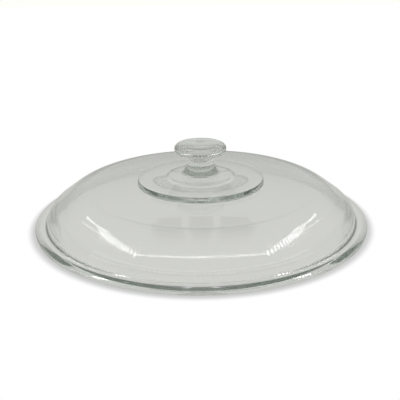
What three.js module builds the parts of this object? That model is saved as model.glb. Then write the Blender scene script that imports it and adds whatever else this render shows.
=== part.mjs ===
// Pressed glass casserole lid: a low dome on a flat rim, with a solid glass knob on a raised centre pad.
//
// The lid is a body of revolution about Z. It stands on its rim at z = 0, with the origin at the
// centre of the rim's underside. Lengths are millimetres and angles are degrees.
//
// The glass is divided where the press tool is divided: rim, dome, centre pad, knob stem and knob cap.

import * as THREE from 'three';

// Driving dimensions.
const LID_RADIUS = 127;           // to the outer edge of the rim
const GLASS = 5;                  // wall thickness of the dome
const SEAM = 0.3;                 // space between neighbouring solids

const RIM_HEIGHT = 4;
const RIM_BEVEL_RADIUS = 122.8;   // outside this the rim's top slopes down to its edge
const RIM_EDGE_HEIGHT = 2.8;
const RIM_FOOT_ROUND = 0.3;

const SKIRT_RADIUS = 118.2;       // outside of the dome wall where it stands on the rim
const SKIRT_ANGLE = 85;           // slope of the wall at its foot
const SKIRT_FILLET = 1.4;
const CONE_ANGLE = 36;            // slope of the straight part between the shoulder and the wall
const CONE_END_RADIUS = 112.7;    // plan radius where that part bends into the wall
const SHOULDER_RADIUS = 28.75;    // of the arc from the crown to the straight part
const CROWN_ANGLE = 4;            // slope where the crown meets the shoulder
const CROWN_EDGE_RADIUS = 86.4;   // plan radius of that meeting
const CROWN_HEIGHT = 30.7;        // outside of the crown, at the edge of the centre pad

const PAD_RADIUS = 48.5;
const PAD_TOP_RADIUS = 48.1;      // the pad's side leans in to here
const PAD_STEP = 2.5;             // height of the pad's edge above the crown
const PAD_EDGE_ROUND = 0.4;
const PAD_BULGE = 2.6;            // rise of the underside from the pad's edge to its middle
const UNDERSIDE_ANGLE = 6;        // slope of the underside at the pad's edge
const PAD_EDGE_ANGLE = 7;         // slope of the pad's top at its edge
const RECESS_RADIUS = 25;         // shallow round recess under the knob
const RECESS_DEPTH = 0.4;
const RECESS_EASE = 1.5;          // half the width of the recess's sloping edge

const FOOT_HEIGHT = 36.6;         // of the domed pad at the foot of the knob, above the table
const ROOT_FILLET = 1.6;          // between the pad and the knob
const ROOT_FILLET_CENTER = 15.4;  // plan radius at which that fillet starts
const ROOT_ANGLE = 21;            // of the stem's flare from the vertical
const ROOT_SEAM_RISE = 0.6;       // of the pad's seam with the stem, above the foot
const NECK_RADIUS = 10.5;
const NECK_HEIGHT = 45.6;         // of the narrowest place, above the table
const NECK_TOP_RADIUS = 13.2;
const UNDERCUT_ANGLE = 35;        // slope of the stem where it meets the cap
const CAP_SEAM_HEIGHT = 50;       // of the stem's seam with the cap
const CAP_RADIUS = 19.8;
const CAP_EDGE_WIDTH = 4.5;       // half width and half height of the cap's rounded edge
const CAP_EDGE_HEIGHT = 4;
const CAP_EDGE_START = -80;       // where that edge begins under the cap, as an angle on its ellipse
const CAP_TOP = 59.4;
const CAP_DISH = 1.5;             // depth of the hollow in the cap's top

// Facets.
const TURN_SEGMENTS = 72;
const CURVE_STEPS = 6;
const ROUND_STEPS = 3;
const HANDLE_SHARE = 0.38;        // length of a curve's handles, as a share of its span

const PAD_TOP = CROWN_HEIGHT + PAD_STEP;
const INNER_RIM_RADIUS = SKIRT_RADIUS - GLASS;

const rad = THREE.MathUtils.degToRad;
const degrees = THREE.MathUtils.radToDeg;

// Profiles lie in a half plane: x is the distance from the axis and y is the height.
// Angles turn from outwards to upwards.

function onEllipse(center, halfWidth, halfHeight, angle) {
  return new THREE.Vector2(
    center.x + halfWidth * Math.cos(rad(angle)),
    center.y + halfHeight * Math.sin(rad(angle)),
  );
}

function ellipseArc(center, halfWidth, halfHeight, fromAngle, toAngle, steps) {
  const points = [];
  for (let i = 0; i <= steps; i += 1) {
    const angle = fromAngle + (toAngle - fromAngle) * (i / steps);
    points.push(onEllipse(center, halfWidth, halfHeight, angle));
  }
  return points;
}

function arc(center, radius, fromAngle, toAngle, steps) {
  return ellipseArc(center, radius, radius, fromAngle, toAngle, steps);
}

// A curve that leaves its start heading along one angle and reaches its end heading along another.
function sweep(start, leaveAngle, end, arriveAngle) {
  const handle = HANDLE_SHARE * start.distanceTo(end);
  const afterStart = onEllipse(start, handle, handle, leaveAngle);
  const beforeEnd = onEllipse(end, handle, handle, arriveAngle + 180);
  return new THREE.CubicBezierCurve(start, afterStart, beforeEnd, end).getPoints(CURVE_STEPS);
}

// The dome's outside, from beside the pad down to the foot of its wall, or its inside when it is dropped
// by the glass thickness. The crown, the shoulder and the straight part below it share their tangents.
function domeSurface(drop, foot) {
  const crownRadius = CROWN_EDGE_RADIUS / Math.sin(rad(CROWN_ANGLE));
  const crownRise = Math.sqrt(crownRadius ** 2 - PAD_RADIUS ** 2);
  const crownCenter = new THREE.Vector2(0, CROWN_HEIGHT - drop - crownRise);
  const crownStart = degrees(Math.acos((PAD_RADIUS + SEAM) / crownRadius));
  const crownEnd = 90 - CROWN_ANGLE;
  const crown = arc(crownCenter, crownRadius, crownStart, crownEnd, ROUND_STEPS);

  const centerReach = crownRadius - SHOULDER_RADIUS;
  const shoulderCenter = onEllipse(crownCenter, centerReach, centerReach, crownEnd);
  const shoulder = arc(shoulderCenter, SHOULDER_RADIUS, crownEnd, 90 - CONE_ANGLE, CURVE_STEPS);

  const coneStart = shoulder[shoulder.length - 1];
  const coneRun = CONE_END_RADIUS - (SKIRT_RADIUS - foot.x) - coneStart.x;
  const coneFall = coneRun * Math.tan(rad(CONE_ANGLE));
  const coneEnd = new THREE.Vector2(coneStart.x + coneRun, coneStart.y - coneFall);
  const knee = sweep(coneEnd, -CONE_ANGLE, foot, -SKIRT_ANGLE);
  return [...crown, ...shoulder.slice(1), ...knee];
}

// The concave arc at the knob's root, between two heights above its foot.
function rootFillet(fromRise, toRise) {
  const center = new THREE.Vector2(ROOT_FILLET_CENTER, FOOT_HEIGHT + ROOT_FILLET);
  const angleAt = (rise) => 180 + degrees(Math.asin((ROOT_FILLET - rise) / ROOT_FILLET));
  return arc(center, ROOT_FILLET, angleAt(fromRise), angleAt(toRise), ROUND_STEPS);
}

function rimFlangeOutline() {
  const footCenter = new THREE.Vector2(LID_RADIUS - RIM_FOOT_ROUND, RIM_FOOT_ROUND);
  return [
    new THREE.Vector2(INNER_RIM_RADIUS, 0),
    ...arc(footCenter, RIM_FOOT_ROUND, -90, 0, ROUND_STEPS),
    new THREE.Vector2(LID_RADIUS, RIM_EDGE_HEIGHT),
    new THREE.Vector2(RIM_BEVEL_RADIUS, RIM_HEIGHT),
    new THREE.Vector2(INNER_RIM_RADIUS, RIM_HEIGHT),
  ];
}

function domeShellOutline() {
  const footHeight = RIM_HEIGHT + SEAM;
  const filletTop = footHeight + SKIRT_FILLET;
  const filletCenter = new THREE.Vector2(SKIRT_RADIUS + SKIRT_FILLET, filletTop);
  const inside = domeSurface(GLASS, new THREE.Vector2(INNER_RIM_RADIUS, footHeight));
  const outside = domeSurface(0, new THREE.Vector2(SKIRT_RADIUS, filletTop));
  return [
    ...inside,
    ...arc(filletCenter, SKIRT_FILLET, 270, 180, ROUND_STEPS),
    ...outside.reverse().slice(1),
  ];
}

function centerPadOutline() {
  const crownInside = new THREE.Vector2(PAD_RADIUS, CROWN_HEIGHT - GLASS);
  const undersideTop = crownInside.y + PAD_BULGE;
  const recessTop = new THREE.Vector2(0, undersideTop + RECESS_DEPTH);
  const bulgeAt = (radius) => PAD_BULGE * (radius / PAD_RADIUS) ** 2;
  const recessInner = RECESS_RADIUS - RECESS_EASE;
  const recessOuter = RECESS_RADIUS + RECESS_EASE;
  const recessEdge = new THREE.Vector2(recessInner, recessTop.y - bulgeAt(recessInner));
  const recessFoot = new THREE.Vector2(recessOuter, undersideTop - bulgeAt(recessOuter));
  const edgeCenter = new THREE.Vector2(PAD_TOP_RADIUS - PAD_EDGE_ROUND, PAD_TOP - PAD_EDGE_ROUND);
  const edge = arc(edgeCenter, PAD_EDGE_ROUND, 10, 90, ROUND_STEPS);
  const root = rootFillet(0, ROOT_SEAM_RISE);
  return [
    ...sweep(recessTop, 0, recessEdge, -UNDERSIDE_ANGLE / 2),
    ...sweep(recessFoot, -UNDERSIDE_ANGLE / 2, crownInside, -UNDERSIDE_ANGLE),
    new THREE.Vector2(PAD_RADIUS, CROWN_HEIGHT),
    ...edge,
    ...sweep(edge[edge.length - 1], 180 - PAD_EDGE_ANGLE, root[0], 180).slice(1),
    ...root.slice(1),
    new THREE.Vector2(0, FOOT_HEIGHT + ROOT_SEAM_RISE),
  ];
}

function knobStemOutline() {
  const bottomRise = ROOT_SEAM_RISE + SEAM;
  const flareRise = ROOT_FILLET * (1 - Math.sin(rad(ROOT_ANGLE)));
  const root = rootFillet(bottomRise, flareRise);
  const neck = new THREE.Vector2(NECK_RADIUS, NECK_HEIGHT);
  const top = new THREE.Vector2(NECK_TOP_RADIUS, CAP_SEAM_HEIGHT - SEAM);
  return [
    new THREE.Vector2(0, FOOT_HEIGHT + bottomRise),
    ...root,
    ...sweep(root[root.length - 1], 90 + ROOT_ANGLE, neck, 90).slice(1),
    ...sweep(neck, 90, top, UNDERCUT_ANGLE).slice(1),
    new THREE.Vector2(0, top.y),
  ];
}

function knobCapOutline() {
  const edgeCenter = new THREE.Vector2(CAP_RADIUS - CAP_EDGE_WIDTH, CAP_TOP - CAP_EDGE_HEIGHT);
  const edge = ellipseArc(edgeCenter, CAP_EDGE_WIDTH, CAP_EDGE_HEIGHT, CAP_EDGE_START, 90, 2 * CURVE_STEPS);
  const dishBottom = new THREE.Vector2(0, CAP_TOP - CAP_DISH);
  return [
    new THREE.Vector2(0, CAP_SEAM_HEIGHT),
    new THREE.Vector2(NECK_TOP_RADIUS + SEAM, CAP_SEAM_HEIGHT),
    ...edge,
    ...sweep(edge[edge.length - 1], 180, dishBottom, 180).slice(1),
  ];
}

// Turns a profile about Z. A ring's profile closes on itself, and a solid's starts and ends on the axis.
function turned(name, outline, material) {
  const startsOnAxis = outline[0].x === 0;
  const points = startsOnAxis ? outline : [...outline, outline[0]];
  const geometry = new THREE.LatheGeometry(points, TURN_SEGMENTS);
  geometry.rotateX(Math.PI / 2);
  const mesh = new THREE.Mesh(geometry, material);
  mesh.name = name;
  return mesh;
}

function clearGlass() {
  return new THREE.MeshStandardMaterial({
    color: 0xdfe6de,
    roughness: 0.05,
    metalness: 0,
    transparent: true,
    opacity: 0.35,
  });
}

const group = new THREE.Group();
group.add(turned('rim_flange', rimFlangeOutline(), clearGlass()));
group.add(turned('dome_shell', domeShellOutline(), clearGlass()));
group.add(turned('center_pad', centerPadOutline(), clearGlass()));
group.add(turned('knob_stem', knobStemOutline(), clearGlass()));
group.add(turned('knob_cap', knobCapOutline(), clearGlass()));

export default group;
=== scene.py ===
import math

import bpy
from mathutils import Matrix, Vector
from mathutils.geometry import interpolate_bezier


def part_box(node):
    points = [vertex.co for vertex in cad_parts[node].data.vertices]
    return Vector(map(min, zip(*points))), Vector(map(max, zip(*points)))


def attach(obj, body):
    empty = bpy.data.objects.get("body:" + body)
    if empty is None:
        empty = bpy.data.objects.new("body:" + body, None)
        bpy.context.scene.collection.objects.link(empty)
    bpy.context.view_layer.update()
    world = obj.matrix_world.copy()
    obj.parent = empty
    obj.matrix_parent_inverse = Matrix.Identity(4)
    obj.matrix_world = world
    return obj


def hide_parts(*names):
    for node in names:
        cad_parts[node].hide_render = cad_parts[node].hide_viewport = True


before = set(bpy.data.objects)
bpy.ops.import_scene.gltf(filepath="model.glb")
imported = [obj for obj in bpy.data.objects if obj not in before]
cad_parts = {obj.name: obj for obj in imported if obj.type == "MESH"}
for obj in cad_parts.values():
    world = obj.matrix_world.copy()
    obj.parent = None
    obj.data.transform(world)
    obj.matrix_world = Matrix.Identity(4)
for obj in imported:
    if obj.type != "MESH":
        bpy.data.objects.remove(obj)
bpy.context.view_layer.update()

# A pressed glass casserole lid. It stands on its rim at z = 0 and is round about Z.
# Lengths are metres and angles are degrees. The glass is one continuous pressing, so its five
# pieces meet face to face, and light passes straight through the faces where they meet.

MM = 0.001

# Sizes of the CAD frame.
LID_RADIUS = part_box("rim_flange")[1].x
RIM_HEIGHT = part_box("rim_flange")[1].z
PAD_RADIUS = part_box("center_pad")[1].x
CROWN_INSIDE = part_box("center_pad")[0].z
CAP_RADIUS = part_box("knob_cap")[1].x
CAP_SEAM_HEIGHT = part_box("knob_cap")[0].z
CAP_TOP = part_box("knob_cap")[1].z

# Sizes that complete the profiles.
GLASS = 5 * MM
SEAM = 0.02 * MM                  # space between neighbouring pieces
CROWN_HEIGHT = CROWN_INSIDE + GLASS

RIM_BEVEL_RADIUS = 122.8 * MM
RIM_BEVEL_BLEND = 0.15 * MM
RIM_EDGE_HEIGHT = 2.8 * MM
RIM_EDGE_ROUND = 0.4 * MM
RIM_FOOT_ROUND = 0.3 * MM
RIM_BEVEL_FALL = (RIM_HEIGHT - RIM_EDGE_HEIGHT) / (LID_RADIUS - RIM_BEVEL_RADIUS)
RIM_BEVEL_ANGLE = math.degrees(math.atan(RIM_BEVEL_FALL))

SKIRT_RADIUS = 118.2 * MM
SKIRT_ANGLE = 85
SKIRT_FILLET = 1.4 * MM
SHOULDER_RADIUS = 28.75 * MM
CONE_ANGLE = 36
CONE_END_RADIUS = 112.7 * MM
CROWN_ANGLE = 4
CROWN_EDGE_RADIUS = 86.4 * MM

PAD_TOP_RADIUS = 48.1 * MM
PAD_STEP = 2.5 * MM
PAD_TOP = CROWN_HEIGHT + PAD_STEP
PAD_EDGE_ROUND = 0.4 * MM
PAD_EDGE_START = 10
PAD_EDGE_ANGLE = 7
PAD_BULGE = 2.6 * MM
UNDERSIDE_ANGLE = 6
RECESS_RADIUS = 25 * MM
RECESS_DEPTH = 0.4 * MM
RECESS_EASE = 1.5 * MM

KNOB_FOOT_HEIGHT = 36.6 * MM
ROOT_FILLET = 1.6 * MM
ROOT_FILLET_CENTER = 15.4 * MM
ROOT_ANGLE = 21
ROOT_SEAM_RISE = 0.6 * MM
NECK_RADIUS = 10.5 * MM
NECK_HEIGHT = 45.6 * MM
NECK_TOP_RADIUS = 13.2 * MM
UNDERCUT_ANGLE = 35
CAP_EDGE_WIDTH = 4.5 * MM
CAP_EDGE_HEIGHT = 4 * MM
CAP_EDGE_START = -80
CAP_UNDER_ANGLE = 10
CAP_DISH = 1.5 * MM

# Fineness of the meshes.
TURN_SEGMENTS = 288
CURVE_STEPS = 40
ROUND_STEPS = 12
HANDLE_SHARE = 0.38
SHARP_ANGLE = 35

# With fewer bounces the thick edges of the glass turn black.
GLASS_BOUNCES = 96
SEAM_BOUNCES = 64

# A viewpoint that matches the photograph, fitted with its distance held at 450 mm.
CAMERA_DISTANCE = 0.450
CAMERA_HEIGHT = 0.1831
CAMERA_PITCH = 20.66
CAMERA_YAW = 0.09
CAMERA_ROLL = -0.66
CAMERA_LENS_MM = 55.26


# ---------------------------------------------------------------- profiles

def point(x, y):
    return Vector((x, y))


def on_ellipse(center, half_width, half_height, angle):
    turn = math.radians(angle)
    return center + point(half_width * math.cos(turn), half_height * math.sin(turn))


def ellipse_arc(center, half_width, half_height, from_angle, to_angle, steps):
    span = to_angle - from_angle
    return [on_ellipse(center, half_width, half_height, from_angle + span * i / steps)
            for i in range(steps + 1)]


def arc(center, radius, from_angle, to_angle, steps):
    return ellipse_arc(center, radius, radius, from_angle, to_angle, steps)


def sweep(start, leave_angle, end, arrive_angle, steps=CURVE_STEPS):
    """A curve that leaves its start along one angle and reaches its end along another."""
    handle = HANDLE_SHARE * (end - start).length
    after_start = on_ellipse(start, handle, handle, leave_angle)
    before_end = on_ellipse(end, handle, handle, arrive_angle + 180)
    return interpolate_bezier(start, after_start, before_end, end, steps + 1)


def dome_surface(drop, foot):
    """The dome's outside from beside the pad down to the foot, or its inside when it is dropped.

    The crown and shoulder are arcs that share a tangent."""
    crown_radius = CROWN_EDGE_RADIUS / math.sin(math.radians(CROWN_ANGLE))
    crown_rise = math.sqrt(crown_radius ** 2 - PAD_RADIUS ** 2)
    crown_center = point(0, CROWN_HEIGHT - drop - crown_rise)
    crown_start = math.degrees(math.acos((PAD_RADIUS + SEAM) / crown_radius))
    crown_end = 90 - CROWN_ANGLE
    crown = arc(crown_center, crown_radius, crown_start, crown_end, ROUND_STEPS)

    center_reach = crown_radius - SHOULDER_RADIUS
    shoulder_center = on_ellipse(crown_center, center_reach, center_reach, crown_end)
    shoulder = arc(shoulder_center, SHOULDER_RADIUS, crown_end, 90 - CONE_ANGLE, CURVE_STEPS)
    cone_run = CONE_END_RADIUS - (SKIRT_RADIUS - foot.x) - shoulder[-1].x
    cone_end = shoulder[-1] + cone_run * point(1, -math.tan(math.radians(CONE_ANGLE)))
    knee = sweep(cone_end, -CONE_ANGLE, foot, -SKIRT_ANGLE)
    return crown + shoulder[1:] + knee


def root_fillet(from_rise, to_rise):
    """The concave arc at the knob's root, between two heights above its foot on the pad."""
    center = point(ROOT_FILLET_CENTER, KNOB_FOOT_HEIGHT + ROOT_FILLET)

    def angle_at(rise):
        return 180 + math.degrees(math.asin((ROOT_FILLET - rise) / ROOT_FILLET))

    return arc(center, ROOT_FILLET, angle_at(from_rise), angle_at(to_rise), ROUND_STEPS)


def rim_flange_outline():
    inner = SKIRT_RADIUS - GLASS
    edge_center = point(LID_RADIUS - RIM_EDGE_ROUND, RIM_EDGE_HEIGHT - RIM_EDGE_ROUND)
    foot_center = point(LID_RADIUS - RIM_FOOT_ROUND, RIM_FOOT_ROUND)
    return [
        point(inner, 0),
        *arc(foot_center, RIM_FOOT_ROUND, -90, 0, ROUND_STEPS),
        *arc(edge_center, RIM_EDGE_ROUND, 0, 90 - RIM_BEVEL_ANGLE, ROUND_STEPS),
        point(RIM_BEVEL_RADIUS + RIM_BEVEL_BLEND, RIM_HEIGHT - RIM_BEVEL_BLEND * RIM_BEVEL_FALL),
        point(RIM_BEVEL_RADIUS - RIM_BEVEL_BLEND, RIM_HEIGHT),
        point(SKIRT_RADIUS + SKIRT_FILLET, RIM_HEIGHT),
        point(inner, RIM_HEIGHT),
    ]


def dome_shell_outline():
    foot_height = RIM_HEIGHT + SEAM
    fillet_top = foot_height + SKIRT_FILLET
    fillet_center = point(SKIRT_RADIUS + SKIRT_FILLET, fillet_top)
    return [
        *dome_surface(GLASS, point(SKIRT_RADIUS - GLASS, foot_height)),
        *arc(fillet_center, SKIRT_FILLET, 270, 180, ROUND_STEPS),
        *dome_surface(0, point(SKIRT_RADIUS, fillet_top))[::-1][1:],
    ]


def center_pad_outline():
    crown_inside = point(PAD_RADIUS, CROWN_INSIDE)
    underside_top = CROWN_INSIDE + PAD_BULGE

    def bulge_at(radius):
        return PAD_BULGE * (radius / PAD_RADIUS) ** 2

    recess_top = point(0, underside_top + RECESS_DEPTH)
    recess_inner = RECESS_RADIUS - RECESS_EASE
    recess_outer = RECESS_RADIUS + RECESS_EASE
    recess_edge = point(recess_inner, recess_top.y - bulge_at(recess_inner))
    recess_foot = point(recess_outer, underside_top - bulge_at(recess_outer))
    half_slope = -UNDERSIDE_ANGLE / 2
    edge_center = point(PAD_TOP_RADIUS - PAD_EDGE_ROUND, PAD_TOP - PAD_EDGE_ROUND)
    edge = arc(edge_center, PAD_EDGE_ROUND, PAD_EDGE_START, 90, ROUND_STEPS)
    root = root_fillet(0, ROOT_SEAM_RISE)
    return [
        *sweep(recess_top, 0, recess_edge, half_slope),
        *sweep(recess_edge, half_slope, recess_foot, half_slope, ROUND_STEPS)[1:],
        *sweep(recess_foot, half_slope, crown_inside, -UNDERSIDE_ANGLE)[1:],
        point(PAD_RADIUS, CROWN_HEIGHT),
        *edge,
        *sweep(edge[-1], 180 - PAD_EDGE_ANGLE, root[0], 180)[1:],
        *root[1:],
        point(0, KNOB_FOOT_HEIGHT + ROOT_SEAM_RISE),
    ]


def knob_stem_outline():
    bottom_rise = ROOT_SEAM_RISE + SEAM
    flare_rise = ROOT_FILLET * (1 - math.sin(math.radians(ROOT_ANGLE)))
    root = root_fillet(bottom_rise, flare_rise)
    neck = point(NECK_RADIUS, NECK_HEIGHT)
    top = point(NECK_TOP_RADIUS, CAP_SEAM_HEIGHT - SEAM)
    return [
        point(0, KNOB_FOOT_HEIGHT + bottom_rise),
        *root,
        *sweep(root[-1], 90 + ROOT_ANGLE, neck, 90)[1:],
        *sweep(neck, 90, top, UNDERCUT_ANGLE)[1:],
        point(0, top.y),
    ]


def knob_cap_outline():
    edge_center = point(CAP_RADIUS - CAP_EDGE_WIDTH, CAP_TOP - CAP_EDGE_HEIGHT)
    edge = ellipse_arc(edge_center, CAP_EDGE_WIDTH, CAP_EDGE_HEIGHT, CAP_EDGE_START, 90, CURVE_STEPS)
    neck_top = point(NECK_TOP_RADIUS, CAP_SEAM_HEIGHT)
    underside = sweep(neck_top, UNDERCUT_ANGLE, edge[0], CAP_UNDER_ANGLE, ROUND_STEPS)
    return [
        point(0, CAP_SEAM_HEIGHT),
        *underside,
        *edge[1:],
        *sweep(edge[-1], 180, point(0, CAP_TOP - CAP_DISH), 180)[1:],
    ]


# ---------------------------------------------------------------- meshes

def on_the_axis(p):
    return abs(p.x) < SEAM


def turned(name, outline, is_seam, dull_inside):
    """Turns a profile about Z. is_seam says which of its faces meet a neighbouring piece.

    If the inside is dull, the faces that look down are marked for the material."""
    on_axis = on_the_axis(outline[0])
    rings = []
    verts = []
    for p in outline:
        if on_the_axis(p):
            rings.append([len(verts)])
            verts.append((0, 0, p.y))
            continue
        rings.append(list(range(len(verts), len(verts) + TURN_SEGMENTS)))
        for j in range(TURN_SEGMENTS):
            turn = math.tau * j / TURN_SEGMENTS
            verts.append((p.x * math.cos(turn), p.x * math.sin(turn), p.y))
    pairs = list(zip(range(len(rings)), range(1, len(rings))))
    if not on_axis:
        pairs.append((len(rings) - 1, 0))
    faces = []
    seams = []
    for a, b in pairs:
        seam = float(is_seam(outline[a], outline[b]))
        for j in range(TURN_SEGMENTS):
            k = (j + 1) % TURN_SEGMENTS
            lower = rings[a]
            upper = rings[b]
            if len(lower) == 1:
                faces.append((lower[0], upper[k], upper[j]))
            elif len(upper) == 1:
                faces.append((lower[j], lower[k], upper[0]))
            else:
                faces.append((lower[j], lower[k], upper[k], upper[j]))
            seams.append(seam)
    mesh = bpy.data.meshes.new(name)
    mesh.from_pydata(verts, [], faces)
    mesh.attributes.new("seam", "FLOAT", "FACE").data.foreach_set("value", seams)
    inside = [float(dull_inside and face.normal.z < 0) for face in mesh.polygons]
    mesh.attributes.new("inside", "FLOAT", "FACE").data.foreach_set("value", inside)
    mesh.shade_smooth()
    mesh.set_sharp_from_angle(angle=math.radians(SHARP_ANGLE))
    mesh.update()
    piece = bpy.data.objects.new(name, mesh)
    bpy.context.scene.collection.objects.link(piece)
    return piece


def touches(value, goal):
    return abs(value - goal) < 2 * SEAM


def rim_seam(a, b):
    inside_fillet = max(a.x, b.x) < SKIRT_RADIUS + SKIRT_FILLET + SEAM
    return touches(a.y, RIM_HEIGHT) and touches(b.y, RIM_HEIGHT) and inside_fillet


def dome_seam(a, b):
    at_rim = touches(a.y, RIM_HEIGHT) and touches(b.y, RIM_HEIGHT)
    at_pad = max(a.x, b.x) < PAD_RADIUS + 2 * SEAM
    return at_rim or at_pad


def pad_seam(a, b):
    at_dome = touches(a.x, PAD_RADIUS) and touches(b.x, PAD_RADIUS) and max(a.y, b.y) <= CROWN_HEIGHT
    seam_height = KNOB_FOOT_HEIGHT + ROOT_SEAM_RISE
    return at_dome or (touches(a.y, seam_height) and touches(b.y, seam_height))


def stem_seam(a, b):
    bottom = KNOB_FOOT_HEIGHT + ROOT_SEAM_RISE
    at_bottom = touches(a.y, bottom) and touches(b.y, bottom)
    at_top = touches(a.y, CAP_SEAM_HEIGHT) and touches(b.y, CAP_SEAM_HEIGHT)
    return (at_bottom or at_top) and min(a.x, b.x) == 0


def cap_seam(a, b):
    return touches(a.y, CAP_SEAM_HEIGHT) and touches(b.y, CAP_SEAM_HEIGHT)


# ---------------------------------------------------------------- glass

def add(nodes, kind, **settings):
    node = nodes.new(kind)
    for key, value in settings.items():
        setattr(node, key, value)
    return node


GLASS_IOR = 1.5
GLASS_TINT = (0.68, 0.72, 0.69, 1)
GLASS_DENSITY = 15                # absorption per metre
INSIDE_ROUGHNESS = 0.08
WAVE_SCALE = 45
WAVE_HEIGHT = 0.008 * MM
RING_SCALE = 12
RING_SHARE = 0.12


def pressed_surface(nodes, link):
    """The slight waves that pressing leaves in the glass, with fainter ones in rings about the knob."""
    place = add(nodes, "ShaderNodeTexCoord")
    waves = add(nodes, "ShaderNodeTexNoise", noise_dimensions="3D")
    waves.inputs["Scale"].default_value = WAVE_SCALE
    waves.inputs["Detail"].default_value = 1.0
    link(place.outputs["Object"], waves.inputs["Vector"])
    rings = add(nodes, "ShaderNodeTexWave", wave_type="RINGS", rings_direction="Z")
    rings.inputs["Scale"].default_value = RING_SCALE
    rings.inputs["Distortion"].default_value = 1.0
    link(place.outputs["Object"], rings.inputs["Vector"])
    height = add(nodes, "ShaderNodeMath", operation="MULTIPLY_ADD")
    height.inputs[1].default_value = RING_SHARE
    link(rings.outputs["Fac"], height.inputs[0])
    link(waves.outputs["Fac"], height.inputs[2])
    bump = add(nodes, "ShaderNodeBump")
    bump.inputs["Strength"].default_value = 1.0
    bump.inputs["Distance"].default_value = WAVE_HEIGHT
    link(height.outputs["Value"], bump.inputs["Height"])
    return bump.outputs["Normal"]


def clear_glass():
    material = bpy.data.materials.new("clear_glass")
    material.use_nodes = True
    nodes = material.node_tree.nodes
    link = material.node_tree.links.new
    nodes.clear()
    output = add(nodes, "ShaderNodeOutputMaterial")
    glass = add(nodes, "ShaderNodeBsdfPrincipled")
    glass.inputs["Base Color"].default_value = (1, 1, 1, 1)
    glass.inputs["Roughness"].default_value = 0.0
    glass.inputs["IOR"].default_value = GLASS_IOR
    glass.inputs["Transmission Weight"].default_value = 1.0
    inside = add(nodes, "ShaderNodeAttribute", attribute_name="inside", attribute_type="GEOMETRY")
    dull = add(nodes, "ShaderNodeMath", operation="MULTIPLY")
    dull.inputs[1].default_value = INSIDE_ROUGHNESS
    link(inside.outputs["Fac"], dull.inputs[0])
    link(dull.outputs["Value"], glass.inputs["Roughness"])
    link(pressed_surface(nodes, link), glass.inputs["Normal"])
    through = add(nodes, "ShaderNodeBsdfTransparent")
    seam = add(nodes, "ShaderNodeAttribute", attribute_name="seam", attribute_type="GEOMETRY")
    mix = add(nodes, "ShaderNodeMixShader")
    link(seam.outputs["Fac"], mix.inputs[0])
    link(glass.outputs["BSDF"], mix.inputs[1])
    link(through.outputs["BSDF"], mix.inputs[2])
    link(mix.outputs["Shader"], output.inputs["Surface"])
    volume = add(nodes, "ShaderNodeVolumeAbsorption")
    volume.inputs["Color"].default_value = GLASS_TINT
    volume.inputs["Density"].default_value = GLASS_DENSITY
    link(volume.outputs["Volume"], output.inputs["Volume"])
    return material


# ---------------------------------------------------------------- stage

TENT_BRIGHTNESS = 0.65
FAR_BRIGHTNESS = 0.61
WALL_BRIGHTNESS = 0.40
TENT_COLOR = (0.99, 1.0, 0.95, 1)
DARK_FRONT = 0.10
SHADOW_BRIGHTNESS = 0.60
SHADOW_WIDTH = 7 * MM
FLOOR_HALF_SIZE = 3.0
FLOOR_DROP = 0.1 * MM
FAR_START = 0.02
FAR_END = 0.26

# Where the tent's wall and its dark doorway end, as parts of a unit direction.
WALL_TOP = 0.55
DOOR_SIDE = -0.30
DOOR_MIDDLE = -0.50
DOOR_TOP = 0.42
DOOR_FULL = 0.25


def emission_material(name, strength, color=(1, 1, 1, 1)):
    material = bpy.data.materials.new(name)
    material.use_nodes = True
    nodes = material.node_tree.nodes
    link = material.node_tree.links.new
    nodes.clear()
    output = add(nodes, "ShaderNodeOutputMaterial")
    emission = add(nodes, "ShaderNodeEmission")
    emission.inputs["Color"].default_value = color
    emission.inputs["Strength"].default_value = strength
    link(emission.outputs["Emission"], output.inputs["Surface"])
    return material


def map_range(nodes, link, value, source, goal):
    """A smooth step of a value from one pair of limits to another."""
    step = add(nodes, "ShaderNodeMapRange", interpolation_type="SMOOTHSTEP")
    step.inputs["From Min"].default_value = source[0]
    step.inputs["From Max"].default_value = source[1]
    step.inputs["To Min"].default_value = goal[0]
    step.inputs["To Max"].default_value = goal[1]
    link(value, step.inputs["Value"])
    return step.outputs["Result"]


def floor_material():
    """White to the eye, with a soft shadow round the rim. All other rays see the tent's grey."""
    material = emission_material("floor", 1.0)
    nodes = material.node_tree.nodes
    link = material.node_tree.links.new
    emission = nodes["Emission"]
    place = add(nodes, "ShaderNodeTexCoord")
    split = add(nodes, "ShaderNodeSeparateXYZ")
    link(place.outputs["Object"], split.inputs["Vector"])
    far = map_range(nodes, link, split.outputs["Y"], (FAR_START, FAR_END), (TENT_BRIGHTNESS, FAR_BRIGHTNESS))
    tent = add(nodes, "ShaderNodeVectorMath", operation="SCALE")
    tent.inputs[0].default_value = TENT_COLOR[:3]
    link(far, tent.inputs["Scale"])
    reach = add(nodes, "ShaderNodeVectorMath", operation="LENGTH")
    link(place.outputs["Object"], reach.inputs[0])
    shadow_end = LID_RADIUS + SHADOW_WIDTH
    shadow = (LID_RADIUS, shadow_end)
    white = map_range(nodes, link, reach.outputs["Value"], shadow, (SHADOW_BRIGHTNESS, 1))
    path = add(nodes, "ShaderNodeLightPath")
    seen = add(nodes, "ShaderNodeMix", data_type="RGBA")
    link(tent.outputs["Vector"], seen.inputs["A"])
    link(white, seen.inputs["B"])
    link(path.outputs["Is Camera Ray"], seen.inputs["Factor"])
    link(seen.outputs["Result"], emission.inputs["Color"])
    return material


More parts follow.
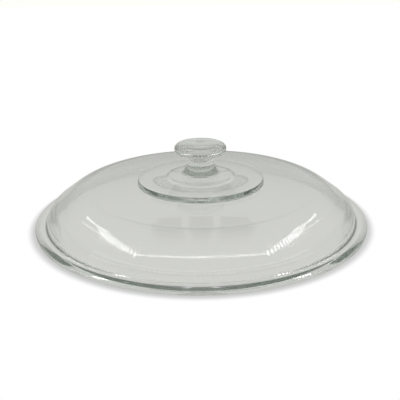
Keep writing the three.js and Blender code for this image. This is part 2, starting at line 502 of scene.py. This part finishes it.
def make_floor():
    size = FLOOR_HALF_SIZE
    mesh = bpy.data.meshes.new("floor")
    corners = [(-size, -size), (size, -size), (size, size), (-size, size)]
    mesh.from_pydata([(x, y, -FLOOR_DROP) for x, y in corners], [], [(0, 1, 2, 3)])
    floor = bpy.data.objects.new("floor", mesh)
    bpy.context.scene.collection.objects.link(floor)
    floor.data.materials.append(floor_material())


def make_world():
    """A white tent that is open, and so dark, low on the viewer's side."""
    world = bpy.data.worlds.new("tent")
    bpy.context.scene.world = world
    world.use_nodes = True
    nodes = world.node_tree.nodes
    link = world.node_tree.links.new
    nodes.clear()
    output = add(nodes, "ShaderNodeOutputWorld")
    background = add(nodes, "ShaderNodeBackground")
    background.inputs["Color"].default_value = TENT_COLOR
    direction = add(nodes, "ShaderNodeTexCoord")
    split = add(nodes, "ShaderNodeSeparateXYZ")
    link(direction.outputs["Generated"], split.inputs["Vector"])
    wall = map_range(nodes, link, split.outputs["Z"], (0, WALL_TOP), (WALL_BRIGHTNESS, TENT_BRIGHTNESS))
    front = map_range(nodes, link, split.outputs["Y"], (DOOR_SIDE, DOOR_MIDDLE), (0, 1))
    low = map_range(nodes, link, split.outputs["Z"], (DOOR_TOP, DOOR_FULL), (0, 1))
    doorway = add(nodes, "ShaderNodeMath", operation="MULTIPLY")
    link(front, doorway.inputs[0])
    link(low, doorway.inputs[1])
    tent = add(nodes, "ShaderNodeMix", data_type="FLOAT")
    tent.inputs["B"].default_value = DARK_FRONT
    link(wall, tent.inputs["A"])
    link(doorway.outputs["Value"], tent.inputs["Factor"])
    path = add(nodes, "ShaderNodeLightPath")
    seen = add(nodes, "ShaderNodeMix", data_type="FLOAT")
    seen.inputs["B"].default_value = 1.0
    link(tent.outputs["Result"], seen.inputs["A"])
    link(path.outputs["Is Camera Ray"], seen.inputs["Factor"])
    link(seen.outputs["Result"], background.inputs["Strength"])
    link(background.outputs["Background"], output.inputs["Surface"])


LAMP_HEIGHT = 0.404
LAMP_CORNER = (0.248, -0.100)
LAMP_FRONT = -0.165
LAMP_BACK = (0.500, 0.350)
LAMP_FRONT_COUNT = 63
LAMP_SIDE_COUNT = 28
LAMP_WIDTH = 3.6 * MM
LAMP_SIDE_WIDTH = 10 * MM
LAMP_FRONT_LENGTH = 3.0 * MM
LAMP_SIDE_LENGTH = 9 * MM
LAMP_BACK_LENGTH = 60 * MM
LAMP_STRENGTH = 9
LOW_LAMP_COUNT = 50
LOW_LAMP_SPREAD = 75
LOW_LAMP_REACH = 0.60
LOW_LAMP_HEIGHT = 0.17
LOW_LAMP_WIDTH = 16 * MM
LOW_LAMP_TALL = 60 * MM
LOW_LAMP_STRENGTH = 3.5
LAMP_FRONT_TURN = 90
LAMP_SIDE_TURN = 20
LAMP_SIDE_LEAVES = 38
LAMP_SIDE_ARRIVES = 88
OPENING_FRONT = -0.060
OPENING_BACK = 0.620
OPENING_LEFT = -0.150
OPENING_RIGHT = 0.165
OPENING_TAPER = 0.66
OPENING_RISE = 10 * MM
OPENING_BRIGHTNESS = 0.26
GAP_PLACE = 35 * MM
GAP_HALF_WIDTH = 8 * MM


def hide_from_camera(obj):
    obj.visible_camera = False
    obj.visible_diffuse = False
    obj.visible_shadow = False


def panel(name, low, high, taper, height, material):
    """A flat rectangle overhead, between two corners in plan."""
    corners = [(low[0], low[1]), (high[0], low[1]), (high[0] * taper, high[1]), (low[0] * taper, high[1])]
    mesh = bpy.data.meshes.new(name)
    mesh.from_pydata([(x, y, height) for x, y in corners], [], [(0, 1, 2, 3)])
    card = bpy.data.objects.new(name, mesh)
    bpy.context.scene.collection.objects.link(card)
    card.data.materials.append(material)
    hide_from_camera(card)


def lamp_row(name, centers, angle, half_lengths, half_width, material):
    """A row of narrow lamps overhead, each turned by the angle from X."""
    turn = math.radians(angle)
    along = point(math.cos(turn), math.sin(turn))
    across = point(-along.y, along.x) * half_width
    verts = []
    faces = []
    for center, half_length in zip(centers, half_lengths):
        base = len(verts)
        for end, side in ((-1, -1), (1, -1), (1, 1), (-1, 1)):
            corner = center + along * (end * half_length) + across * side
            verts.append((corner.x, corner.y, LAMP_HEIGHT))
        faces.append((base, base + 1, base + 2, base + 3))
    mesh = bpy.data.meshes.new(name)
    mesh.from_pydata(verts, [], faces)
    row = bpy.data.objects.new(name, mesh)
    bpy.context.scene.collection.objects.link(row)
    row.data.materials.append(material)
    hide_from_camera(row)


def low_row(material):
    """Small lamps in a low arc behind the viewer, all turned to the lid."""
    verts = []
    faces = []
    for i in range(LOW_LAMP_COUNT):
        turn = math.radians(LOW_LAMP_SPREAD * (2 * i / (LOW_LAMP_COUNT - 1) - 1))
        out = Vector((math.sin(turn), -math.cos(turn), 0))
        side = Vector((out.y, -out.x, 0)) * (LOW_LAMP_WIDTH / 2)
        up = Vector((0, 0, LOW_LAMP_TALL / 2))
        center = out * LOW_LAMP_REACH + Vector((0, 0, LOW_LAMP_HEIGHT))
        base = len(verts)
        verts += [center - side - up, center + side - up, center + side + up, center - side + up]
        faces.append((base, base + 1, base + 2, base + 3))
    mesh = bpy.data.meshes.new("lamps_low")
    mesh.from_pydata(verts, [], faces)
    row = bpy.data.objects.new("lamps_low", mesh)
    bpy.context.scene.collection.objects.link(row)
    row.data.materials.append(material)
    hide_from_camera(row)


def make_lamps():
    """Three rows of lamps: one across the front that bows forwards, and one back along each side."""
    material = emission_material("lamp", LAMP_STRENGTH)
    corner = point(*LAMP_CORNER)
    front = []
    for i in range(LAMP_FRONT_COUNT + 1):
        x = corner.x * (2 * i / LAMP_FRONT_COUNT - 1)
        front.append(point(x, LAMP_FRONT + (corner.y - LAMP_FRONT) * (x / corner.x) ** 2))
    half_lengths = [LAMP_FRONT_LENGTH / 2] * len(front)
    lamp_row("lamps_front", front, LAMP_FRONT_TURN, half_lengths, LAMP_WIDTH / 2, material)
    growth = LAMP_BACK_LENGTH - LAMP_SIDE_LENGTH
    for name, side in (("lamps_left", -1), ("lamps_right", 1)):
        row = sweep(corner, LAMP_SIDE_LEAVES, point(*LAMP_BACK), LAMP_SIDE_ARRIVES, LAMP_SIDE_COUNT)
        centers = [point(side * p.x, p.y) for p in row]
        shares = [i / LAMP_SIDE_COUNT for i in range(len(row))]
        half_lengths = [(LAMP_SIDE_LENGTH + growth * share ** 2) / 2 for share in shares]
        lamp_row(name, centers, -side * LAMP_SIDE_TURN, half_lengths, LAMP_SIDE_WIDTH / 2, material)
    low_row(emission_material("low_lamp", LOW_LAMP_STRENGTH))
    opening = emission_material("opening", OPENING_BRIGHTNESS)
    low = (OPENING_LEFT, OPENING_FRONT)
    high = (OPENING_RIGHT, OPENING_BACK)
    panel("tent_opening", low, high, OPENING_TAPER, LAMP_HEIGHT + OPENING_RISE, opening)
    gap = emission_material("gap", TENT_BRIGHTNESS)
    for side in (-1, 1):
        low = (side * GAP_PLACE - GAP_HALF_WIDTH, OPENING_FRONT)
        high = (side * GAP_PLACE + GAP_HALF_WIDTH, OPENING_BACK)
        panel("tent_gap", low, high, 1, LAMP_HEIGHT, gap)


def make_camera():
    data = bpy.data.cameras.new("camera")
    data.lens = CAMERA_LENS_MM
    camera = bpy.data.objects.new("camera", data)
    bpy.context.scene.collection.objects.link(camera)
    yaw = Matrix.Rotation(math.radians(CAMERA_YAW), 4, "Z")
    pitch = Matrix.Rotation(math.radians(90 - CAMERA_PITCH), 4, "X")
    roll = Matrix.Rotation(math.radians(CAMERA_ROLL), 4, "Z")
    place = Matrix.Translation((0, -CAMERA_DISTANCE, CAMERA_HEIGHT))
    camera.matrix_world = place @ yaw @ pitch @ roll
    bpy.context.scene.camera = camera


def build_lid():
    material = clear_glass()
    parts = (
        ("rim_glass", "rim_flange", rim_flange_outline(), rim_seam, False),
        ("dome_glass", "dome_shell", dome_shell_outline(), dome_seam, True),
        ("pad_glass", "center_pad", center_pad_outline(), pad_seam, False),
        ("stem_glass", "knob_stem", knob_stem_outline(), stem_seam, False),
        ("cap_glass", "knob_cap", knob_cap_outline(), cap_seam, False),
    )
    for name, node, outline, is_seam, dull_inside in parts:
        piece = turned(name, outline, is_seam, dull_inside)
        piece.data.materials.append(material)
        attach(piece, "root")
        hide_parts(node)


make_camera()
make_world()
make_floor()
make_lamps()
build_lid()

scene = bpy.context.scene
scene.view_settings.view_transform = "Standard"
scene.cycles.max_bounces = GLASS_BOUNCES
scene.cycles.transmission_bounces = GLASS_BOUNCES
scene.cycles.glossy_bounces = GLASS_BOUNCES
scene.cycles.transparent_max_bounces = SEAM_BOUNCES
